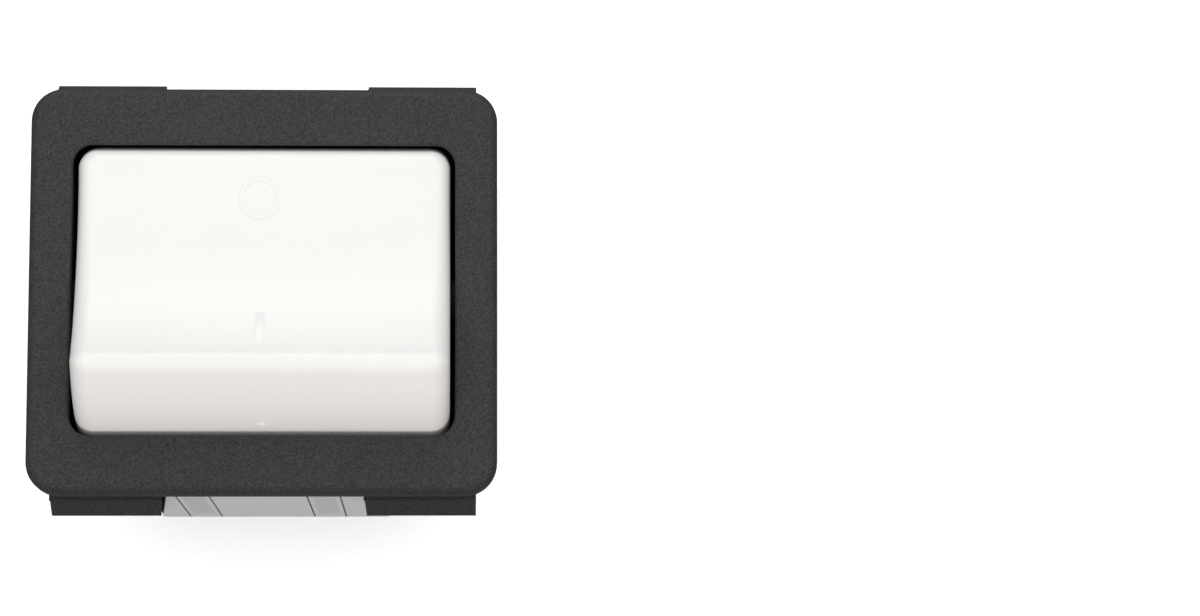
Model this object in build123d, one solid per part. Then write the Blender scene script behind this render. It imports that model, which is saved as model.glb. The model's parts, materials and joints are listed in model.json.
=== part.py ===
# Snap-in power switch: a white rocker in a black bezel, with two switched poles behind the panel.
# X runs to the right and Y up along the panel, and Z points out of the panel at the user.
# The origin is the centre of the panel cut-out, on the face that the bezel seats against.
# The rocker rests at off, with its upper end pressed in. Lengths are millimetres, angles degrees.
import os
from math import cos, radians, sin, sqrt, tan

from build123d import *

# Bezel
bezel_width = 47.0
bezel_height = 41.2
bezel_thickness = 2.6
bezel_corner = 3.3
bezel_edge = 0.9
well_width = 38.5
well_corner = 2.0
well_lip = 0.3

# Case and panel
cutout_width = 44.4
cutout_clearance = 0.2
case_depth = 30.5
case_wall = 1.6
case_corner = 1.2
case_lead_in = 0.5
spine_width = 19.5
spine_rear_width = 24.9
spine_rise = 2.18
spine_corner = 0.6

# Latch arms
latch_bite = 2.4
latch_tip_drop = 1.25
latch_width = 11.4
latch_thickness = 1.35
latch_tip_thickness = 0.7
latch_lip = 0.4
latch_groove = 0.2
latch_spine_gap = 0.25
latch_panel_gap = 1.0
latch_flare = 3.1
latch_edge = 0.3
latch_root_length = 3.6
latch_root_inset = 0.3

# Rocker
rocker_tilt = 16.0
rocker_side_gap = 0.5
pivot_depth = 6.5
crest_spread = 22.8
crest_height = 10.45
crest_rounding = 1.7
dish_radius = 28.0
rocker_corner = 2.0
rocker_wall = 1.6
skirt_drop = 1.0
sweep_clearance = 0.5
nib_radius = 0.4
nib_height = 0.15
nib_angle = 79.4

# Carrier under the rocker's face
trunnion_radius = 2.0
trunnion_clearance = 0.05
trunnion_end_gap = 0.4
carrier_gap = 0.3
carrier_depth = 16.6
carrier_thickness = 1.8
carrier_face_gap = 1.6
cheek_thickness = 1.8
cheek_radius = 3.4
snap_mouth = 3.5
cap_rib = 1.2
cap_rib_offset = 5.6

# Spring plungers
pole_offset = 11.0
plunger_radius = 2.2
plunger_clearance = 0.05
plunger_reach = 10.0
plunger_length = 7.5
nose_radius = 1.5
nose_length = 1.6
spigot_radius = 0.9
spigot_length = 1.8
barrel_wall = 1.2
barrel_length = 6.5
barrel_roof = 1.2
spring_wire = 0.5
spring_turns = 4
wire_facets = 6
spring_gap = 0.3

# Seesaw blades
blade_tilt = 8.0
blade_width = 5.6
blade_thickness = 0.8
blade_bend = 2.5
blade_arm = 10.8
blade_tail = 5.4
tail_width = 7.8
tail_length = 1.5
flank_margin = 0.7
nose_clearance = 0.25
saddle_clearance = 0.05
saddle_bite = 0.1
ear_thickness = 0.6
ear_depth = 1.6
ear_length = 1.8
ear_clearance = 0.2

# Contacts
contact_reach = 8.2
contact_radius = 2.0
contact_head = 0.7
contact_gap = 0.03
rivet_radius = 1.0
rivet_clearance = 0.03
rivet_tail_radius = 1.35
rivet_tail = 0.35

# Terminals and their base
tab_width = 6.3
tab_thickness = 0.8
tab_length = 9.0
tab_offset = 11.0
tab_hole_radius = 0.9
tab_hole_height = 5.2
tab_tip_taper = 1.4
tab_bend = 1.0
foot_bend = 0.6
terminal_width = 5.6
shelf_overhang = 2.8
base_thickness = 3.0
collar_wall = 0.9
collar_height = 0.8
rear_rib = 1.4
rear_rib_height = 3.0
rear_rib_length = 27.0
base_clearance = 0.15
slot_clearance = 0.1
barrier_thickness = 1.2
barrier_height = 9.0
barrier_length = 26.0
stop_thickness = 1.0
stop_clearance = 0.03
seat_rib = 1.2
seat_rib_length = 7.0
clip_offset = 9.0
clip_width = 4.4
clip_thickness = 1.0
clip_height = 3.2
clip_barb = 1.1
clip_barb_height = 1.2
clip_clearance = 0.3

# Label
label_margin = 0.2
label_thickness = 0.15
label_front_gap = 0.8
label_rear_gap = 0.6
label_corner = 0.5

# Sizes that follow from the ones above
pivot_z = bezel_thickness - pivot_depth
crest_y = crest_spread / 2
end_radius = sqrt(crest_y**2 + crest_height**2)
rocker_width = well_width - 2 * rocker_side_gap
well_radius = end_radius + sweep_clearance
case_width = cutout_width - 2 * cutout_clearance
case_height = 2 * (well_radius + case_wall)
spine_height = case_height + 2 * spine_rise
latch_reach = spine_height / 2 + latch_bite
latch_tip_reach = latch_reach - latch_tip_drop
base_front = base_thickness - case_depth
barrel_radius = plunger_radius + plunger_clearance + barrel_wall
dish_sag = dish_radius - sqrt(dish_radius**2 - crest_y**2)
carrier_top = crest_height - dish_sag - rocker_wall - carrier_face_gap
spring_top = carrier_top - barrel_roof
saddle_radius = tab_thickness / 2
saddle_width = blade_width - 2 * (ear_thickness + ear_clearance)
blade_mid = saddle_radius + saddle_clearance - saddle_bite + blade_thickness / 2
fulcrum_drop = plunger_reach + nose_clearance + blade_mid + blade_thickness / 2
fulcrum_z = pivot_z - fulcrum_drop

# Where the plunger's nose stands on the blade at either end of the stroke, in the blade's own frame
throw = radians(rocker_tilt)
sway = radians(blade_tilt)
nose_y = plunger_reach * sin(throw)
nose_z = fulcrum_drop - plunger_reach * cos(throw)
flank_run = nose_y * cos(sway) - nose_z * sin(sway)
flank_rise = nose_y * sin(sway) + nose_z * cos(sway) - (fulcrum_drop - plunger_reach)
flank_slope = flank_rise / flank_run
flank_end = flank_run + flank_margin
flank_top = blade_mid + flank_end * flank_slope

# Place that turns with the rocker
rocker_place = Pos(0, 0, pivot_z) * Rot(X=-rocker_tilt)


def blade_place(side):
    return Pos(side * pole_offset, 0, fulcrum_z) * Rot(X=blade_tilt)


def arm_height(distance):
    """Height of the blade's centre line beyond its flanks, in the blade's own frame."""
    return flank_top + (distance - flank_end) * tan(sway)


# Where the closed contacts meet, and the shelf that carries the fixed one
closed_y = contact_reach * cos(sway) + arm_height(contact_reach) * sin(sway)
closed_z = fulcrum_z + arm_height(contact_reach) * cos(sway) - contact_reach * sin(sway)
shelf_top = closed_z - blade_thickness / 2 - 2 * contact_head - contact_gap
shelf_z = shelf_top - tab_thickness / 2
stop_z = fulcrum_z + arm_height(blade_tail) * cos(sway) - blade_tail * sin(sway)
stop_top = stop_z - blade_thickness / 2 - stop_clearance
clip_window_z = base_front + clip_height - clip_barb_height / 2


def along_x(profile, width):
    """A profile drawn in Y and Z, given a width along X about the middle."""
    return extrude(Plane.YZ * profile, width / 2, both=True)


def across(radius, length):
    """A round bar along X through the origin."""
    return Rot(Y=90) * Cylinder(radius, length)


def strip(points, radius, thickness, width):
    """A flat strip of metal bent along points in Y and Z."""
    path = FilletPolyline(*points, radius=radius)
    return along_x(trace(path, thickness), width)


def case_form(inset):
    """The case with its spine, which widens to the rear, moved inwards on all sides by an inset."""
    plan = RectangleRounded(case_width - 2 * inset, case_height - 2 * inset, case_corner)
    body = extrude(plan, -case_depth)
    height = spine_height - 2 * inset
    front = RectangleRounded(spine_width - 2 * inset, height, spine_corner)
    rear = RectangleRounded(spine_rear_width - 2 * inset, height, spine_corner)
    return body + loft([front, Pos(0, 0, -case_depth) * rear])


def spine_half_width(depth):
    """Half the spine's width at a depth behind the bezel."""
    return (spine_width + (spine_rear_width - spine_width) * depth / case_depth) / 2


def latch_arm():
    """The right latch arm on the upper side: free and flared at its front, narrower at its root."""
    wall = case_height / 2 - case_wall / 2
    rear = spine_height / 2 - latch_root_inset
    front = -latch_panel_gap
    root = latch_root_length - case_depth
    neck = latch_tip_reach - latch_groove
    profile = Polyline(
        (wall, -case_depth),
        (rear, -case_depth),
        (latch_reach, front - latch_flare),
        (neck, front - 2 * latch_lip),
        (neck, front - latch_lip),
        (latch_tip_reach, front - latch_lip),
        (latch_tip_reach, front),
        (latch_tip_reach - latch_tip_thickness, front),
        (latch_reach - latch_thickness, front - latch_flare),
        (rear - latch_thickness, root),
        (wall, root),
        close=True,
    )
    arm = along_x(make_face(profile), 2 * case_width)
    arm = fillet(arm.edges().filter_by(Axis.X).group_by(Axis.Y)[-1], latch_edge)
    outer = spine_width / 2 + latch_spine_gap + latch_width
    plan = Polyline(
        (spine_half_width(0) + latch_spine_gap, 0),
        (outer, 0),
        (outer, -case_depth),
        (spine_half_width(case_depth) + latch_spine_gap, -case_depth),
        close=True,
    )
    return arm & extrude(Plane.XZ * make_face(plan), case_width, both=True)


def housing():
    """Bezel, case, latch arms and pivot holes, moulded in one."""
    plate = extrude(RectangleRounded(bezel_width, bezel_height, bezel_corner), bezel_thickness)
    plate = fillet(plate.faces().sort_by(Axis.Z)[-1].edges(), bezel_edge)
    case = case_form(0)
    case = chamfer(case.faces().sort_by(Axis.Z)[0].edges(), case_lead_in)
    body = plate + case - case_form(case_wall)

    sweep = across(well_radius, well_width)
    sweep = fillet(sweep.edges().filter_by(GeomType.CIRCLE), well_corner)
    body -= Pos(0, 0, pivot_z) * sweep
    lip = body.faces().sort_by(Axis.Z)[-1].inner_wires()[0].edges()
    body = fillet(lip, well_lip)

    window_width = clip_width + 2 * clip_clearance
    window_height = clip_barb_height + 2 * clip_clearance
    window = Box(3 * case_wall, window_width, window_height)
    rib = Box(seat_rib, seat_rib, seat_rib_length)
    rib_x = case_width / 2 - case_wall - seat_rib / 2
    rib_y = case_height / 2 - case_wall - seat_rib / 2
    arm = latch_arm()
    for side in (-1, 1):
        hand = arm if side > 0 else mirror(arm, about=Plane.YZ)
        for end in (-1, 1):
            body += hand if end > 0 else mirror(hand, about=Plane.XZ)
            body += Pos(side * rib_x, end * rib_y, base_front + seat_rib_length / 2) * rib
            body -= Pos(side * case_width / 2, end * clip_offset, clip_window_z) * window
    body -= Pos(0, 0, pivot_z) * across(trunnion_radius + trunnion_clearance, 2 * case_width)
    return body


def rocker_form(inset):
    """The rocker's outer form about its pivot, or its hollow when moved inwards by an inset."""
    radius = end_radius - inset
    low = -skirt_drop - inset
    dish = dish_radius + inset
    dish_z = crest_height - dish_sag + dish_radius
    side = across(radius, rocker_width - 2 * inset)
    if not inset:
        side = fillet(side.edges().filter_by(GeomType.CIRCLE), rocker_corner)
    form = side & Pos(0, 0, low + end_radius) * Box(2 * well_width, 4 * end_radius, 2 * end_radius)
    form -= Pos(0, 0, dish_z) * across(dish, 2 * well_width)
    return form


def rocker_cap():
    """White rocker moulding: dished face, arc ends, skirt, ribs and snap slots."""
    cap = rocker_form(0)
    crests = [
        edge
        for edge in cap.edges().filter_by(GeomType.LINE).filter_by(Axis.X)
        if edge.center().Z > 0
    ]
    cap = fillet(crests, crest_rounding)
    hollow = rocker_form(rocker_wall)
    cap -= hollow
    for side in (-1, 1):
        rib = Pos(side * cap_rib_offset, 0, carrier_top + end_radius) * Box(
            cap_rib, carrier_depth, 2 * end_radius
        )
        cap += rib & hollow
    slot_height = skirt_drop + end_radius
    cap -= across(trunnion_radius + trunnion_clearance, 2 * rocker_width)
    cap -= Pos(0, 0, -slot_height / 2) * Box(2 * rocker_width, snap_mouth, slot_height)
    nib = Rot(X=nib_angle) * Pos(0, 0, end_radius) * Cylinder(nib_radius, 2 * nib_height)
    cap += nib
    return rocker_place * cap


def rocker_carrier():
    """Black carrier inside the rocker: plate, cheeks, trunnions and two spring barrels."""
    half = rocker_width / 2 - rocker_wall - carrier_gap
    plate_z = carrier_top - carrier_thickness / 2
    body = Pos(0, 0, plate_z) * Box(2 * half, carrier_depth, carrier_thickness)
    body = fillet(body.edges().filter_by(Axis.Z), rocker_corner)
    trunnion_tip = case_width / 2 - trunnion_end_gap
    for side in (-1, 1):
        cheek = along_x(
            Circle(cheek_radius) + Pos(0, carrier_top / 2) * Rectangle(2 * cheek_radius, carrier_top),
            cheek_thickness,
        )
        body += Pos(side * (half - cheek_thickness / 2), 0, 0) * cheek
        trunnion_length = trunnion_tip - half + cheek_thickness
        trunnion = across(trunnion_radius, trunnion_length)
        trunnion = chamfer(trunnion.edges().filter_by(GeomType.CIRCLE), trunnion_end_gap)
        body += Pos(side * (trunnion_tip - trunnion_length / 2), 0, 0) * trunnion
        height = barrel_length + carrier_top
        barrel = Pos(side * pole_offset, 0, carrier_top - height / 2) * Cylinder(barrel_radius, height)
        body += barrel
    for side in (-1, 1):
        depth = spring_top + barrel_length
        bore = Cylinder(plunger_radius + plunger_clearance, depth)
        body -= Pos(side * pole_offset, 0, spring_top - depth / 2) * bore
    return rocker_place * body


def plunger(side):
    """Insulated plunger with a rounded nose and a spigot for its spring."""
    shoulder = nose_length - plunger_reach
    top = plunger_length - plunger_reach
    with BuildLine() as outline:
        Polyline(
            (0, nose_radius - plunger_reach),
            (0, top + spigot_length),
            (spigot_radius, top + spigot_length),
            (spigot_radius, top),
            (plunger_radius, top),
            (plunger_radius, shoulder + (plunger_radius - nose_radius)),
            (nose_radius, shoulder),
            (nose_radius, nose_radius - plunger_reach),
            close=True,
        )
    body = revolve(Plane.XZ * make_face(outline.line), Axis.Z)
    body += Pos(0, 0, nose_radius - plunger_reach) * Sphere(nose_radius)
    return rocker_place * Pos(side * pole_offset, 0, 0) * body


def plunger_spring(side):
    """Compression spring between the barrel's roof and the plunger's shoulder."""
    bottom = plunger_length - plunger_reach
    height = spring_top - bottom - spring_wire - 2 * contact_gap
    radius = plunger_radius - spring_gap - spring_wire / 2
    coil = Helix(height / spring_turns, height, radius)
    start = Plane(origin=coil @ 0, z_dir=coil % 0)
    wire = sweep(start * RegularPolygon(spring_wire / 2, wire_facets), path=coil)
    lift = bottom + spring_wire / 2 + contact_gap
    return rocker_place * Pos(side * pole_offset, 0, lift) * wire


def contact_blade(side):
    """Seesaw blade: a trough for the nose, a long contact arm, a T tail and two locating ears."""
    points = [
        (-blade_tail, arm_height(blade_tail)),
        (-flank_end, flank_top),
        (0, blade_mid),
        (flank_end, flank_top),
        (blade_arm, arm_height(blade_arm)),
    ]
    radii = [blade_bend / 2, blade_bend, blade_bend / 2]
    blade = strip(points, radii, blade_thickness, blade_width)
    tail_points = [points[0], (tail_length - blade_tail, arm_height(blade_tail - tail_length))]
    blade += along_x(trace(Line(*tail_points), blade_thickness), tail_width)
    for hand in (-1, 1):
        ear = Rectangle(ear_length, ear_depth) + Pos(0, -ear_depth / 2) * Circle(ear_length / 2)
        ear_x = hand * (blade_width / 2 - ear_thickness / 2)
        blade += Pos(ear_x, 0, blade_mid - ear_depth / 2) * along_x(ear, ear_thickness)
    blade -= across(saddle_radius + saddle_clearance, blade_width - 2 * ear_thickness)
    hole = Rot(X=blade_tilt) * Cylinder(rivet_radius + rivet_clearance, 4 * blade_thickness)
    blade -= Pos(0, contact_reach, arm_height(contact_reach)) * hole
    return blade_place(side) * blade


def rivet(shank):
    """Contact rivet with its face down, about the middle of the metal that it is set in."""
    head = Pos(0, 0, -shank / 2 - contact_head / 2) * Cylinder(contact_radius, contact_head)
    head = chamfer(head.faces().sort_by(Axis.Z)[0].edges(), contact_head / 4)
    stem = Cylinder(rivet_radius, shank)
    tail = Pos(0, 0, shank / 2 + rivet_tail / 2) * Cylinder(rivet_tail_radius, rivet_tail)
    tail = chamfer(tail.faces().sort_by(Axis.Z)[-1].edges(), rivet_tail / 2)
    return head + stem + tail


def moving_contact(side):
    """Silver contact under the end of the blade's arm."""
    seat = Pos(0, contact_reach, arm_height(contact_reach)) * Rot(X=blade_tilt)
    return blade_place(side) * seat * rivet(blade_thickness)


def fixed_contact(side):
    """Silver contact on the load terminal's shelf, face up."""
    return Pos(side * pole_offset, closed_y, shelf_z) * Rot(X=180) * rivet(tab_thickness)


def tab_blank(tip_y):
    """Spade end of a terminal, with tapered tip and a locating hole, standing below the base."""
    tab = Rectangle(tab_width, tab_length + base_thickness)
    tab = chamfer(tab.vertices().group_by(Axis.Y)[0], tab_tip_taper)
    tab -= Pos(0, tab_hole_height - (tab_length + base_thickness) / 2) * Circle(tab_hole_radius)
    spade = extrude(Plane.XZ * tab, tab_thickness / 2, both=True)
    edge = spade.faces().sort_by(Axis.Z)[0].edges().filter_by(Axis.X)
    spade = chamfer(edge, tab_thickness / 4)
    return Pos(0, tip_y, base_front - (tab_length + base_thickness) / 2) * spade


def fulcrum_terminal(side):
    """Supply terminal: spade, foot on the base and upright saddle that the blade rocks on."""
    foot = base_front + tab_thickness / 2
    points = [(-tab_offset, base_front - base_thickness), (-tab_offset, foot), (0, foot), (0, fulcrum_z)]
    body = strip(points, foot_bend, tab_thickness, saddle_width)
    body += across(saddle_radius, saddle_width).moved(Location((0, 0, fulcrum_z)))
    body += tab_blank(-tab_offset)
    return Pos(side * pole_offset, 0, 0) * body


def load_terminal(side):
    """Load terminal: spade, upright and shelf that carries the fixed contact."""
    points = [
        (tab_offset, base_front - base_thickness),
        (tab_offset, shelf_z),
        (closed_y - shelf_overhang, shelf_z),
    ]
    body = strip(points, tab_bend, tab_thickness, terminal_width)
    body -= Pos(0, closed_y, shelf_z) * Cylinder(rivet_radius + rivet_clearance, 4 * tab_thickness)
    body += tab_blank(tab_offset)
    return Pos(side * pole_offset, 0, 0) * body


def terminal_base():
    """Rear plate with terminal slots, barrier between the poles, blade stops and snap clips."""
    slab = Pos(0, 0, base_front - base_thickness / 2) * Box(2 * case_width, 2 * case_height, base_thickness)
    body = case_form(case_wall + base_clearance) & slab
    barrier = Box(barrier_thickness, barrier_length, barrier_height)
    body += Pos(0, 0, base_front + barrier_height / 2) * barrier
    body += Pos(0, 0, -case_depth - rear_rib_height / 2) * Box(rear_rib, rear_rib_length, rear_rib_height)
    slot_width = tab_width + 2 * slot_clearance
    slot_height = tab_thickness + 2 * slot_clearance
    collar = Box(slot_width + 2 * collar_wall, slot_height + 2 * collar_wall, 2 * collar_height)
    slot = Box(slot_width, slot_height, 4 * base_thickness)
    for side in (-1, 1):
        for end in (-1, 1):
            body += Pos(side * pole_offset, end * tab_offset, -case_depth) * collar
            body -= Pos(side * pole_offset, end * tab_offset, base_front) * slot
            body += Pos(0, end * clip_offset, 0) * base_clip(side)
            stop_height = stop_top - base_front
            stop = Box(stop_thickness, tail_length, stop_height)
            stop_x = side * pole_offset + end * (tail_width - stop_thickness) / 2
            stop_y = tail_length / 2 - blade_tail
            body += Pos(stop_x, stop_y, base_front + stop_height / 2) * stop
    return body


def base_clip(side):
    """One snap clip that hooks into its window in the case's side wall."""
    outer = case_width / 2 - case_wall - base_clearance
    with BuildLine() as outline:
        Polyline(
            (outer - clip_thickness, base_front - base_thickness / 2),
            (outer, base_front - base_thickness / 2),
            (outer, base_front + clip_height - clip_barb_height),
            (outer + clip_barb, base_front + clip_height - clip_barb_height),
            (outer, base_front + clip_height),
            (outer - clip_thickness, base_front + clip_height),
            close=True,
        )
    clip = extrude(Plane.XZ * make_face(outline.line), clip_width / 2, both=True)
    return clip if side > 0 else mirror(clip, about=Plane.YZ)


def rating_label():
    """Blank foil label on the lower face of the case's spine."""
    near = label_front_gap
    far = case_depth - label_rear_gap
    corners = [
        (side * (spine_half_width(depth) - label_margin), -depth)
        for side, depth in ((-1, near), (1, near), (1, far), (-1, far))
    ]
    sheet = make_face(Polyline(*corners, close=True))
    sheet = fillet(sheet.vertices(), label_corner)
    return Pos(0, -spine_height / 2, 0) * extrude(Plane.XZ * sheet, label_thickness)


pieces = {
    "housing": housing(),
    "terminal_base": terminal_base(),
    "rating_label": rating_label(),
    "rocker_cap": rocker_cap(),
    "rocker_carrier": rocker_carrier(),
}
for name, side in (("left", -1), ("right", 1)):
    pieces[f"plunger_{name}"] = plunger(side)
    pieces[f"plunger_spring_{name}"] = plunger_spring(side)
    pieces[f"contact_blade_{name}"] = contact_blade(side)
    pieces[f"moving_contact_{name}"] = moving_contact(side)
    pieces[f"fixed_contact_{name}"] = fixed_contact(side)
    pieces[f"fulcrum_terminal_{name}"] = fulcrum_terminal(side)
    pieces[f"load_terminal_{name}"] = load_terminal(side)

os.makedirs("parts", exist_ok=True)
for name, piece in pieces.items():
    piece.label = name
    export_step(piece, f"parts/{name}.step")
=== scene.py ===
import json
import math

import bpy
from mathutils import Matrix, Vector


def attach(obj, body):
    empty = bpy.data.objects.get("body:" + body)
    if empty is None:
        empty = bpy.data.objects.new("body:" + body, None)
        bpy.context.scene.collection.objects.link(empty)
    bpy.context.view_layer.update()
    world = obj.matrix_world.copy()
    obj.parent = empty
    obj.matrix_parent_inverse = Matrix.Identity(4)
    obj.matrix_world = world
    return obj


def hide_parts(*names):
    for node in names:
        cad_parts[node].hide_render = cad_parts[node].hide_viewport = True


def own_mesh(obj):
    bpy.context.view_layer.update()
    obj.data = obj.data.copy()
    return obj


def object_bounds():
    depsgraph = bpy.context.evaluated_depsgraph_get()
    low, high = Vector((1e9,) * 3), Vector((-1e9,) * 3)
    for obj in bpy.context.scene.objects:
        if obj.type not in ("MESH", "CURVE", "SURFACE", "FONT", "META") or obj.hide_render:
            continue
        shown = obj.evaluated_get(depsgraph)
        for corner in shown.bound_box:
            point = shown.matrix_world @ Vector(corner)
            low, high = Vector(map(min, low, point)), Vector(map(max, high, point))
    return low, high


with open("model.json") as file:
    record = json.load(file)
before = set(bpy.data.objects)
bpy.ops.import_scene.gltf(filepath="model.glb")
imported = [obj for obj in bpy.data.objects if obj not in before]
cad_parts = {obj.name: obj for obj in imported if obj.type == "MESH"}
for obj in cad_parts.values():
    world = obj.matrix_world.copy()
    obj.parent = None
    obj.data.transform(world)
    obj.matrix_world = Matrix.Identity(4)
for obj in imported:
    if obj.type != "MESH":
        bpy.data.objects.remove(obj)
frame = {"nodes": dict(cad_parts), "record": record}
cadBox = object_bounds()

# Snap-in rocker power switch, standing on its four terminals with its front facing up.
# Everything is in metres, X right and Y up along the panel, Z out of the panel.

mm = 0.001
nodes = frame["nodes"]
print("stage: frame loaded,", len(nodes), "nodes")


# Short ways to add shader nodes; a value is a number, a color or another node's output

mixFirst = 6          # sockets of a Mix node that is set to colors
mixSecond = 7
mixResult = 2


def addNode(tree, kind, **values):
    node = tree.nodes.new(kind)
    for key, value in values.items():
        setattr(node, key, value)
    return node


def feed(tree, socket, value):
    if isinstance(value, (int, float, tuple)):
        socket.default_value = value
    else:
        tree.links.new(value, socket)


def mathNode(tree, operation, *values):
    node = addNode(tree, "ShaderNodeMath", operation=operation)
    for socket, value in zip(node.inputs, values):
        feed(tree, socket, value)
    return node.outputs[0]


def mixColor(tree, factor, first, second):
    mix = addNode(tree, "ShaderNodeMix", data_type="RGBA")
    feed(tree, mix.inputs["Factor"], factor)
    feed(tree, mix.inputs[mixFirst], first)
    feed(tree, mix.inputs[mixSecond], second)
    return mix.outputs[mixResult]


# Spreads a value between 0 and 1 "To" a range, or a value "From" a range over 0 to 1
def spread(tree, value, side, low, high):
    node = addNode(tree, "ShaderNodeMapRange")
    node.inputs[side + " Min"].default_value = low
    node.inputs[side + " Max"].default_value = high
    tree.links.new(value, node.inputs["Value"])
    return node.outputs["Result"]


def objectCoords(tree):
    return addNode(tree, "ShaderNodeTexCoord").outputs["Object"]


def noise(tree, coords, scale, detail=2.0, roughness=0.5):
    pattern = addNode(tree, "ShaderNodeTexNoise")
    pattern.inputs["Detail"].default_value = detail
    pattern.inputs["Roughness"].default_value = roughness
    tree.links.new(coords, pattern.inputs["Vector"])
    feed(tree, pattern.inputs["Scale"], scale)
    return pattern.outputs["Fac"]


def newMaterial(name):
    material = bpy.data.materials.new(name)
    material.use_nodes = True
    return material, material.node_tree, material.node_tree.nodes["Principled BSDF"]


# Gives a shader its roughness from one pattern and its relief from another
def finishSurface(tree, shader, settings, roughPattern, height):
    rough = spread(tree, roughPattern, "To", settings["roughLow"], settings["roughHigh"])
    tree.links.new(rough, shader.inputs["Roughness"])
    bump = addNode(tree, "ShaderNodeBump")
    bump.inputs["Strength"].default_value = settings["bump"]
    bump.inputs["Distance"].default_value = settings["bumpDistance"]
    tree.links.new(height, bump.inputs["Height"])
    tree.links.new(bump.outputs["Normal"], shader.inputs["Normal"])


# Camera, as the photograph was taken: nearly square to the front, from a little below it

cameraSettings = {
    "place": (19.39 * mm, -56.67 * mm, 375.49 * mm),
    "forward": (0.03826, 0.14542, -0.98863),
    "up": (-0.00157, 0.98936, 0.14547),
    "lens": 112.5,          # in millimetres, as the sensor
    "sensor": 36.0,
    "nearest": 0.01,
    "farthest": 20.0,
}


def makeCamera(settings):
    data = bpy.data.cameras.new("photoCamera")
    data.lens = settings["lens"]
    data.sensor_width = settings["sensor"]
    data.clip_start = settings["nearest"]
    data.clip_end = settings["farthest"]
    camera = bpy.data.objects.new("photoCamera", data)
    bpy.context.scene.collection.objects.link(camera)
    back = -Vector(settings["forward"]).normalized()
    right = Vector(settings["up"]).cross(back).normalized()
    top = back.cross(right)
    turn = Matrix((right, top, back)).transposed().to_4x4()
    camera.matrix_world = Matrix.Translation(settings["place"]) @ turn
    bpy.context.scene.camera = camera


# Pale floor: white to the camera, dimmer in what it throws back on the switch

floorSettings = {
    "size": 6.0,
    "color": (0.95, 0.95, 0.95, 1.0),
    "shade": (0.92, 0.92, 0.92, 1.0),
    "bounce": (0.20, 0.20, 0.20, 1.0),
    "glow": 0.42,
    "toneScale": 2.0,
    "rough": 0.9,
}


def makeFloor(settings):
    bpy.ops.object.select_all(action="DESELECT")
    bpy.ops.mesh.primitive_plane_add(size=settings["size"], location=(0, 0, cadBox[0].z))
    bpy.ops.object.transform_apply(location=True, rotation=True, scale=True)
    floor = bpy.context.active_object
    floor.name = "floor"
    material, tree, shader = newMaterial("paleFloor")
    tone = noise(tree, objectCoords(tree), settings["toneScale"])
    seen = mixColor(tree, tone, settings["color"], settings["shade"])
    path = addNode(tree, "ShaderNodeLightPath")
    surface = mixColor(tree, path.outputs["Is Camera Ray"], settings["bounce"], seen)
    tree.links.new(surface, shader.inputs["Base Color"])
    tree.links.new(surface, shader.inputs["Emission Color"])
    shader.inputs["Emission Strength"].default_value = settings["glow"]
    shader.inputs["Roughness"].default_value = settings["rough"]
    shader.inputs["Specular IOR Level"].default_value = 0.0
    floor.data.materials.append(material)


# World: bright overhead, dim towards the horizon, and white where the camera sees it

domeSettings = {
    "color": (1.0, 1.0, 1.0, 1.0),
    "horizonGlow": 0.10,
    "zenithGlow": 0.80,
    "backdropGlow": 1.0,
}


def makeDome(settings):
    world = bpy.data.worlds.new("studioDome")
    world.use_nodes = True
    tree = world.node_tree
    direction = addNode(tree, "ShaderNodeTexCoord")
    height = addNode(tree, "ShaderNodeSeparateXYZ")
    tree.links.new(direction.outputs["Generated"], height.inputs["Vector"])
    glow = spread(
        tree, height.outputs["Z"], "To", settings["horizonGlow"], settings["zenithGlow"]
    )
    path = addNode(tree, "ShaderNodeLightPath")
    strength = addNode(tree, "ShaderNodeMix")
    strength.inputs["B"].default_value = settings["backdropGlow"]
    tree.links.new(glow, strength.inputs["A"])
    tree.links.new(path.outputs["Is Camera Ray"], strength.inputs["Factor"])
    background = tree.nodes["Background"]
    background.inputs["Color"].default_value = settings["color"]
    tree.links.new(strength.outputs["Result"], background.inputs["Strength"])
    bpy.context.scene.world = world


# Four soft round lights; the lower one lights the rocker's end wall and isn't seen in any sheen

softboxSettings = {
    "size": 0.60,
    "rows": [
        # name, place, watts, color, mirrored
        ("leftSoftbox", (-0.70, 0.15, 0.80), 1.1, (1.0, 1.0, 1.0), True),
        ("rightSoftbox", (0.70, 0.15, 0.80), 1.3, (1.0, 1.0, 1.0), True),
        ("upperSoftbox", (0.0, 0.85, 0.50), 4.0, (1.0, 1.0, 1.0), True),
        ("lowerSoftbox", (0.0, -0.85, 0.58), 4.4, (1.0, 0.96, 0.92), False),
    ],
}


def makeSoftboxes(settings):
    for name, place, watts, color, mirrored in settings["rows"]:
        data = bpy.data.lights.new(name, "AREA")
        data.shape = "DISK"
        data.size = settings["size"]
        data.energy = watts
        data.color = color
        light = bpy.data.objects.new(name, data)
        light.location = place
        light.visible_glossy = mirrored
        light.rotation_euler = (-Vector(place)).to_track_quat("-Z", "Y").to_euler()
        bpy.context.scene.collection.objects.link(light)


makeCamera(cameraSettings)
makeFloor(floorSettings)
makeDome(domeSettings)
makeSoftboxes(softboxSettings)
bpy.context.scene.view_settings.view_transform = "Standard"
print("stage: camera, floor and lights")


# Node groups that several materials share

def newGroup(name, inputs, outputs):
    group = bpy.data.node_groups.new(name, "ShaderNodeTree")
    for label, value in inputs:
        socket = group.interface.new_socket(label, in_out="INPUT", socket_type="NodeSocketFloat")
        socket.default_value = value
    for label in outputs:
        group.interface.new_socket(label, in_out="OUTPUT", socket_type="NodeSocketFloat")
    start = group.nodes.new("NodeGroupInput")
    end = group.nodes.new("NodeGroupOutput")
    return group, start, end


def useGroup(tree, group, values):
    node = addNode(tree, "ShaderNodeGroup", node_tree=group)
    for key, value in values.items():
        node.inputs[key].default_value = value
    return node


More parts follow.
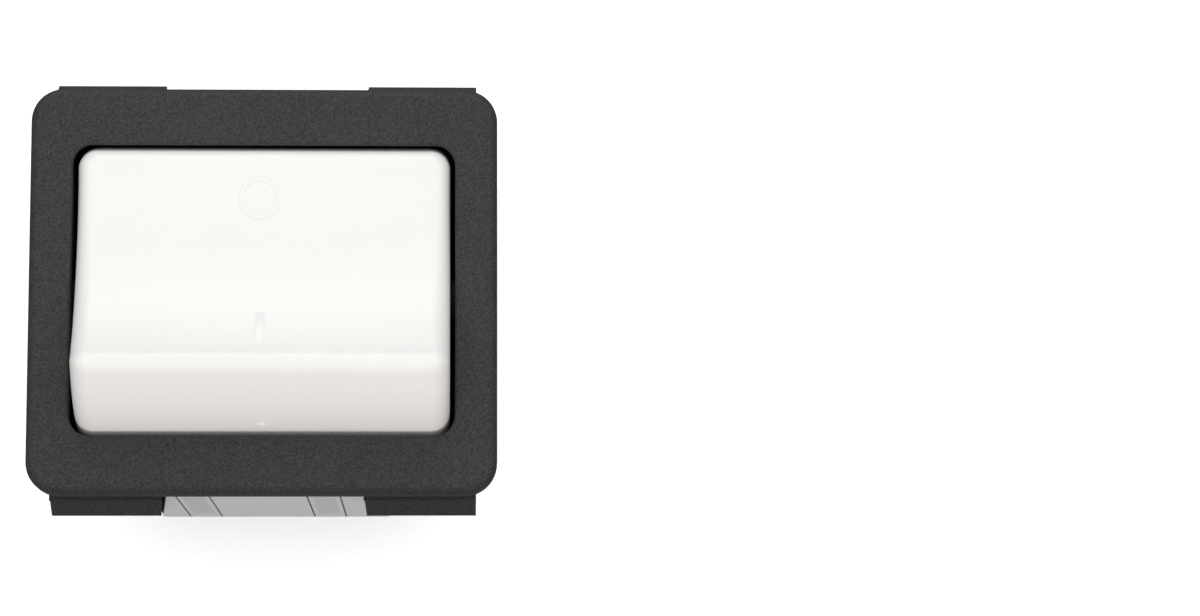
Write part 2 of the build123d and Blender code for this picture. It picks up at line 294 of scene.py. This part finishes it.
grainPattern = {
    "grainDetail": 3.0,
    "grainRoughness": 0.6,
    "waveDetail": 1.0,
    "pitShare": 0.5,
    "fineShare": 0.4,        # of the mottling, the rest is broad
    "crispLow": 0.34,        # the noise keeps near its middle, so it is stretched
    "crispHigh": 0.66,
}


# Spark-eroded face of a moulding: fine grain with small pits, broad waviness and faint mottling
def makeGrainGroup(settings):
    group, start, end = newGroup(
        "mouldedGrain",
        [("Grain Scale", 3000.0), ("Wave Scale", 120.0), ("Wave Height", 0.3)],
        ["Height", "Grain", "Mottle"],
    )
    coords = objectCoords(group)
    grainScale = start.outputs["Grain Scale"]
    grain = noise(group, coords, grainScale, settings["grainDetail"], settings["grainRoughness"])
    wave = noise(group, coords, start.outputs["Wave Scale"], settings["waveDetail"])
    pits = addNode(group, "ShaderNodeTexVoronoi")
    group.links.new(coords, pits.inputs["Vector"])
    group.links.new(grainScale, pits.inputs["Scale"])
    waveHeight = mathNode(group, "MULTIPLY", wave, start.outputs["Wave Height"])
    pitted = mathNode(group, "MULTIPLY_ADD", pits.outputs["Distance"], settings["pitShare"], grain)
    height = mathNode(group, "ADD", pitted, waveHeight)
    crisp = spread(group, grain, "From", settings["crispLow"], settings["crispHigh"])
    fine = mathNode(group, "MULTIPLY", grain, settings["fineShare"])
    mottle = mathNode(group, "MULTIPLY_ADD", wave, 1 - settings["fineShare"], fine)
    group.links.new(height, end.inputs["Height"])
    group.links.new(crisp, end.inputs["Grain"])
    group.links.new(mottle, end.inputs["Mottle"])
    return group


edgePattern = {
    "samples": 4,
    "maskLow": 0.01,
    "maskHigh": 0.12,
}


# Rubbed convex edges, broken up so that they don't read as an outline
def makeEdgeGroup(settings):
    group, start, end = newGroup(
        "edgeWear", [("Radius", 0.0003), ("Breakup Scale", 900.0)], ["Mask"]
    )
    bevel = addNode(group, "ShaderNodeBevel", samples=settings["samples"])
    group.links.new(start.outputs["Radius"], bevel.inputs["Radius"])
    geometry = addNode(group, "ShaderNodeNewGeometry")
    dot = addNode(group, "ShaderNodeVectorMath", operation="DOT_PRODUCT")
    group.links.new(bevel.outputs["Normal"], dot.inputs[0])
    group.links.new(geometry.outputs["Normal"], dot.inputs[1])
    bend = mathNode(group, "SUBTRACT", 1.0, dot.outputs["Value"])
    breakup = noise(group, objectCoords(group), start.outputs["Breakup Scale"])
    broken = mathNode(group, "MULTIPLY", bend, breakup)
    mask = spread(group, broken, "From", settings["maskLow"], settings["maskHigh"])
    group.links.new(mask, end.inputs["Mask"])
    return group


grainGroup = makeGrainGroup(grainPattern)
edgeGroup = makeEdgeGroup(edgePattern)


# Moulded plastics: black nylon, white rocker and natural nylon plungers

blackNylon = {
    "name": "blackNylon",
    "grainShare": 0.75,                  # the rest is broad mottling
    "dark": (0.004, 0.004, 0.0041, 1.0),
    "light": (0.052, 0.0515, 0.052, 1.0),
    "worn": (0.060, 0.060, 0.061, 1.0),
    "roughLow": 0.50,
    "roughHigh": 0.64,
    "grainScale": 6000.0,
    "waveScale": 160.0,
    "waveHeight": 0.4,
    "bump": 0.75,
    "bumpDistance": 0.08 * mm,
    "edgeRadius": 0.25 * mm,
    "wear": 0.12,
    "specular": 0.36,
}

whiteRocker = {
    "name": "whiteRocker",
    "grainShare": 0.20,
    "dark": (0.835, 0.824, 0.806, 1.0),
    "light": (0.865, 0.856, 0.839, 1.0),
    "worn": (0.880, 0.880, 0.870, 1.0),
    "roughLow": 0.36,
    "roughHigh": 0.46,
    "grainScale": 3800.0,
    "waveScale": 90.0,
    "waveHeight": 0.6,
    "bump": 0.05,
    "bumpDistance": 0.02 * mm,
    "edgeRadius": 0.20 * mm,
    "wear": 0.3,
    "specular": 0.5,
}

plungerNylon = {
    "name": "plungerNylon",
    "grainShare": 0.30,
    "dark": (0.62, 0.59, 0.50, 1.0),
    "light": (0.70, 0.68, 0.60, 1.0),
    "worn": (0.78, 0.77, 0.72, 1.0),
    "roughLow": 0.35,
    "roughHigh": 0.5,
    "grainScale": 3000.0,
    "waveScale": 200.0,
    "waveHeight": 0.4,
    "bump": 0.08,
    "bumpDistance": 0.02 * mm,
    "edgeRadius": 0.15 * mm,
    "wear": 0.3,
    "specular": 0.5,
}


def mouldedPlastic(settings):
    material, tree, shader = newMaterial(settings["name"])
    shader.inputs["Specular IOR Level"].default_value = settings["specular"]
    grain = useGroup(tree, grainGroup, {
        "Grain Scale": settings["grainScale"],
        "Wave Scale": settings["waveScale"],
        "Wave Height": settings["waveHeight"],
    })
    edge = useGroup(tree, edgeGroup, {"Radius": settings["edgeRadius"]})
    mottle = grain.outputs["Mottle"]
    fine = mathNode(tree, "MULTIPLY", grain.outputs["Grain"], settings["grainShare"])
    tone = mathNode(tree, "MULTIPLY_ADD", mottle, 1 - settings["grainShare"], fine)
    body = mixColor(tree, tone, settings["dark"], settings["light"])
    wear = mathNode(tree, "MULTIPLY", edge.outputs["Mask"], settings["wear"])
    color = mixColor(tree, wear, body, settings["worn"])
    tree.links.new(color, shader.inputs["Base Color"])
    finishSurface(tree, shader, settings, mottle, grain.outputs["Height"])
    return material


# Metals: tinned brass terminals, copper blades, silver contacts and spring wire

tinnedBrass = {
    "name": "tinnedBrass",
    "clean": (0.62, 0.60, 0.55, 1.0),
    "dull": (0.50, 0.44, 0.32, 1.0),
    "roughLow": 0.24,
    "roughHigh": 0.42,
    "streakScale": 260.0,
    "squeeze": (1.0, 1.0, 14.0),      # of the streaks, along each axis
    "bump": 0.06,
    "bumpDistance": 0.02 * mm,
}

copperBlade = {
    "name": "copperBlade",
    "clean": (0.80, 0.47, 0.30, 1.0),
    "dull": (0.55, 0.28, 0.16, 1.0),
    "roughLow": 0.22,
    "roughHigh": 0.40,
    "streakScale": 260.0,
    "squeeze": (1.0, 14.0, 1.0),
    "bump": 0.06,
    "bumpDistance": 0.02 * mm,
}

silverContact = {
    "name": "silverContact",
    "clean": (0.86, 0.85, 0.82, 1.0),
    "dull": (0.62, 0.60, 0.56, 1.0),
    "roughLow": 0.28,
    "roughHigh": 0.46,
    "streakScale": 900.0,
    "squeeze": (1.0, 1.0, 1.0),
    "bump": 0.05,
    "bumpDistance": 0.02 * mm,
}

springWire = {
    "name": "springWire",
    "clean": (0.66, 0.66, 0.66, 1.0),
    "dull": (0.45, 0.45, 0.46, 1.0),
    "roughLow": 0.22,
    "roughHigh": 0.38,
    "streakScale": 1200.0,
    "squeeze": (1.0, 1.0, 1.0),
    "bump": 0.04,
    "bumpDistance": 0.02 * mm,
}

metalPattern = {
    "streakDetail": 4.0,
    "stainScale": 220.0,
}


def workedMetal(settings):
    material, tree, shader = newMaterial(settings["name"])
    shader.inputs["Metallic"].default_value = 1.0
    coords = objectCoords(tree)
    mapping = addNode(tree, "ShaderNodeMapping")
    mapping.inputs["Scale"].default_value = settings["squeeze"]
    tree.links.new(coords, mapping.inputs["Vector"])
    squeezed = mapping.outputs["Vector"]
    streaks = noise(tree, squeezed, settings["streakScale"], metalPattern["streakDetail"])
    stain = noise(tree, coords, metalPattern["stainScale"])
    color = mixColor(tree, stain, settings["clean"], settings["dull"])
    tree.links.new(color, shader.inputs["Base Color"])
    finishSurface(tree, shader, settings, streaks, streaks)
    return material


# Silver foil label with two ruled columns of faint grey ticks, no words

foilLabel = {
    "name": "foilLabel",
    "foil": (0.77, 0.76, 0.795, 1.0),
    "foilShade": (0.85, 0.84, 0.875, 1.0),
    "ink": (0.055, 0.045, 0.040, 1.0),
    "tint": (0.36, 0.35, 0.375, 1.0),
    "metallic": 0.10,
    "grainScale": 700.0,
    "grainDetail": 3.0,
    "roughLow": 0.38,
    "roughHigh": 0.52,
    "bump": 0.05,
    "bumpDistance": 0.02 * mm,
    "printMiddle": -0.81 * mm,
    "innerRule": 4.98 * mm,               # each side of the print's middle
    "outerRule": 8.37 * mm,
    "ruleHalfWidth": 0.08 * mm,
    "tintShare": 0.34,                    # of the column's width, each side of its middle
    "tintFront": -3.0 * mm,
    "tintRear": -26.0 * mm,
    "rowPitch": 1.25 * mm,
    "speckleScale": 900.0,
}


# Two thin rules each side of the middle
def labelRules(tree, across, settings):
    halfWidth = settings["ruleHalfWidth"]
    inner = mathNode(tree, "COMPARE", across, settings["innerRule"], halfWidth)
    outer = mathNode(tree, "COMPARE", across, settings["outerRule"], halfWidth)
    return mathNode(tree, "MAXIMUM", inner, outer)


# Rows of speckled ticks between the rules
def labelTicks(tree, coords, across, along, settings):
    inner = settings["innerRule"]
    outer = settings["outerRule"]
    front = settings["tintFront"]
    rear = settings["tintRear"]
    halfTint = (outer - inner) * settings["tintShare"]
    column = mathNode(tree, "COMPARE", across, (inner + outer) / 2, halfTint)
    field = mathNode(tree, "COMPARE", along, (front + rear) / 2, (front - rear) / 2)
    phase = mathNode(tree, "MULTIPLY", along, math.tau / settings["rowPitch"])
    rows = mathNode(tree, "MULTIPLY_ADD", mathNode(tree, "SINE", phase), 0.5, 0.5)
    band = mathNode(tree, "MULTIPLY", rows, noise(tree, coords, settings["speckleScale"]))
    return mathNode(tree, "MULTIPLY", mathNode(tree, "MULTIPLY", column, field), band)


def labelMaterial(settings):
    material, tree, shader = newMaterial(settings["name"])
    shader.inputs["Metallic"].default_value = settings["metallic"]
    coords = objectCoords(tree)
    axes = addNode(tree, "ShaderNodeSeparateXYZ")
    tree.links.new(coords, axes.inputs["Vector"])
    offset = mathNode(tree, "SUBTRACT", axes.outputs["X"], settings["printMiddle"])
    across = mathNode(tree, "ABSOLUTE", offset)
    foilGrain = noise(tree, coords, settings["grainScale"], settings["grainDetail"])
    bare = mixColor(tree, foilGrain, settings["foil"], settings["foilShade"])
    ticks = labelTicks(tree, coords, across, axes.outputs["Z"], settings)
    tinted = mixColor(tree, ticks, bare, settings["tint"])
    inked = mixColor(tree, labelRules(tree, across, settings), tinted, settings["ink"])
    tree.links.new(inked, shader.inputs["Base Color"])
    finishSurface(tree, shader, settings, foilGrain, foilGrain)
    return material


materials = {
    "black_nylon": mouldedPlastic(blackNylon),
    "white_rocker": mouldedPlastic(whiteRocker),
    "plunger_nylon": mouldedPlastic(plungerNylon),
    "terminal_brass": workedMetal(tinnedBrass),
    "blade_copper": workedMetal(copperBlade),
    "contact_silver": workedMetal(silverContact),
    "spring_steel": workedMetal(springWire),
    "label_foil": labelMaterial(foilLabel),
}


def dressNodes():
    for part in frame["record"]["subparts"]:
        node = nodes[part["node"]]
        material = materials[part["material_slot"]]
        if not node.material_slots:
            node.data.materials.append(material)
        for slot in node.material_slots:
            slot.material = material


dressNodes()
print("stage: materials on every node")


# Where the rocker turns and how far it leans at rest

rockerSeat = {
    "pivot": (0.0, 0.0, -3.9 * mm),
    "tilt": math.radians(-16.0),
    "above": 12.0 * mm,          # height over the pivot from which a sign is laid on the face
}

smoothAngle = math.radians(40)


def editMesh(selectMode):
    bpy.ops.object.mode_set(mode="EDIT")
    bpy.ops.mesh.select_mode(type=selectMode)
    bpy.ops.mesh.select_all(action="SELECT")


# O and I signs, moulded slightly proud of the rocker's dished face

offSign = {
    "name": "offSign",
    "place": (-0.40 * mm, 7.1 * mm),      # across and along the tilted face
    "outerRadius": 2.12 * mm,
    "stroke": 0.50 * mm,
    "thickness": 0.085 * mm,
    "steps": 96,
}

onSign = {
    "name": "onSign",
    "place": (-0.10 * mm, -7.1 * mm),
    "length": 3.7 * mm,
    "stroke": 0.95 * mm,
    "cornerRadius": 0.22 * mm,
    "cornerSteps": 4,
    "thickness": 0.045 * mm,
    "cuts": 7,
}

signFinish = {
    "sink": 0.02 * mm,           # of the thickness, below the face
    "edge": 0.03 * mm,
    "edgeSteps": 2,
}


def facePlace(place):
    turn = Matrix.Rotation(rockerSeat["tilt"], 3, "X")
    return Vector(rockerSeat["pivot"]) + turn @ Vector((*place, rockerSeat["above"]))


# A ring: a filled circle inset by the stroke, its middle taken out
def makeOffSign(settings):
    bpy.ops.object.select_all(action="DESELECT")
    bpy.ops.mesh.primitive_circle_add(
        vertices=settings["steps"], radius=settings["outerRadius"], fill_type="NGON",
        location=facePlace(settings["place"]), rotation=(rockerSeat["tilt"], 0, 0),
    )
    sign = bpy.context.active_object
    sign.name = settings["name"]
    editMesh("FACE")
    bpy.ops.mesh.inset(thickness=settings["stroke"] / 2)
    bpy.ops.mesh.inset(thickness=settings["stroke"] / 2)
    bpy.ops.mesh.delete(type="FACE")
    bpy.ops.object.mode_set(mode="OBJECT")
    return sign


# A bar: a plane pulled to length, its corners rounded
def makeOnSign(settings):
    bpy.ops.object.select_all(action="DESELECT")
    bpy.ops.mesh.primitive_plane_add(
        size=settings["stroke"],
        location=facePlace(settings["place"]), rotation=(rockerSeat["tilt"], 0, 0),
    )
    sign = bpy.context.active_object
    sign.name = settings["name"]
    editMesh("VERT")
    bpy.ops.transform.resize(
        value=(1, settings["length"] / settings["stroke"], 1),
        orient_matrix=Matrix.Rotation(rockerSeat["tilt"], 3, "X"), orient_type="GLOBAL",
    )
    bpy.ops.mesh.bevel(
        offset=settings["cornerRadius"], segments=settings["cornerSteps"], affect="VERTICES"
    )
    bpy.ops.mesh.select_all(action="SELECT")
    bpy.ops.mesh.subdivide(number_cuts=settings["cuts"])
    bpy.ops.object.mode_set(mode="OBJECT")
    return sign


# Lays a flat sign on the face, gives it its thickness and softens its edges
def raiseSign(sign, settings):
    bpy.context.view_layer.objects.active = sign
    lay = sign.modifiers.new("lay", "SHRINKWRAP")
    lay.target = nodes["rocker_cap"]
    lay.wrap_method = "PROJECT"
    lay.use_project_z = True
    lay.use_negative_direction = True
    lay.use_positive_direction = False
    lay.offset = -signFinish["sink"]
    bpy.ops.object.modifier_apply(modifier=lay.name)
    rise = sign.modifiers.new("rise", "SOLIDIFY")
    rise.thickness = settings["thickness"]
    rise.offset = 1.0
    bpy.ops.object.modifier_apply(modifier=rise.name)
    soften = sign.modifiers.new("soften", "BEVEL")
    soften.width = signFinish["edge"]
    soften.segments = signFinish["edgeSteps"]
    soften.limit_method = "ANGLE"
    bpy.ops.object.modifier_apply(modifier=soften.name)
    bpy.ops.object.transform_apply(location=True, rotation=True, scale=True)
    bpy.ops.object.shade_smooth_by_angle(angle=smoothAngle)
    sign.data.materials.append(materials["white_rocker"])
    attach(sign, "rocker")


raiseSign(makeOffSign(offSign), offSign)
raiseSign(makeOnSign(onSign), onSign)
print("stage: O and I on the rocker")


# Plunger springs, wound again here in place of the part file's springs and carried on the rocker

plungerSpring = {
    "seats": [
        # name, node, joint, side
        ("springLeft", "plunger_spring_left", "plunger_left_slide", -1),
        ("springRight", "plunger_spring_right", "plunger_right_slide", 1),
    ],
    "middle": 11.0 * mm,         # each side of the switch's middle
    "wire": 0.50 * mm,
    "wireSides": 12,
    "coilRadius": 1.65 * mm,     # to the wire's middle
    "turns": 4,
    "stepsPerTurn": 40,
    "low": -2.22 * mm,           # the wire's lower end, over the pivot
    "rise": 5.59 * mm,
    "travel": 0.80 * mm,
}


# A ring of wire wound up into a helix, its two ends closed
def makeSpring(name, settings):
    bpy.ops.object.select_all(action="DESELECT")
    bpy.ops.mesh.primitive_circle_add(
        vertices=settings["wireSides"], radius=settings["wire"] / 2,
        location=(settings["coilRadius"], 0, settings["low"]), rotation=(math.radians(90), 0, 0),
    )
    spring = bpy.context.active_object
    spring.name = name
    bpy.ops.object.transform_apply(location=True, rotation=True, scale=True)
    coil = spring.modifiers.new("coil", "SCREW")
    coil.screw_offset = settings["rise"] / settings["turns"]
    coil.iterations = settings["turns"]
    coil.steps = settings["stepsPerTurn"]
    coil.render_steps = settings["stepsPerTurn"]
    bpy.ops.object.modifier_apply(modifier=coil.name)
    editMesh("VERT")
    bpy.ops.mesh.fill_holes(sides=0)
    bpy.ops.mesh.select_all(action="SELECT")
    bpy.ops.mesh.normals_make_consistent(inside=False)
    bpy.ops.object.mode_set(mode="OBJECT")
    bpy.ops.object.shade_smooth_by_angle(angle=smoothAngle)
    return spring


# Stands the selected spring in its barrel; its top end stays against the barrel's roof
def seatSpring(spring, node, across):
    pivot = Vector(rockerSeat["pivot"])
    spring.location = pivot + Vector((across, 0, 0))
    spring.rotation_euler = (rockerSeat["tilt"], 0, 0)
    bpy.ops.object.transform_apply(location=True, rotation=True, scale=True)
    spring.data.materials.append(materials["spring_steel"])
    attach(spring, "rocker")
    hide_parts(node)
    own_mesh(spring)


for name, node, joint, side in plungerSpring["seats"]:
    spring = makeSpring(name, plungerSpring)
    seatSpring(spring, node, side * plungerSpring["middle"])
print("stage: plunger springs")
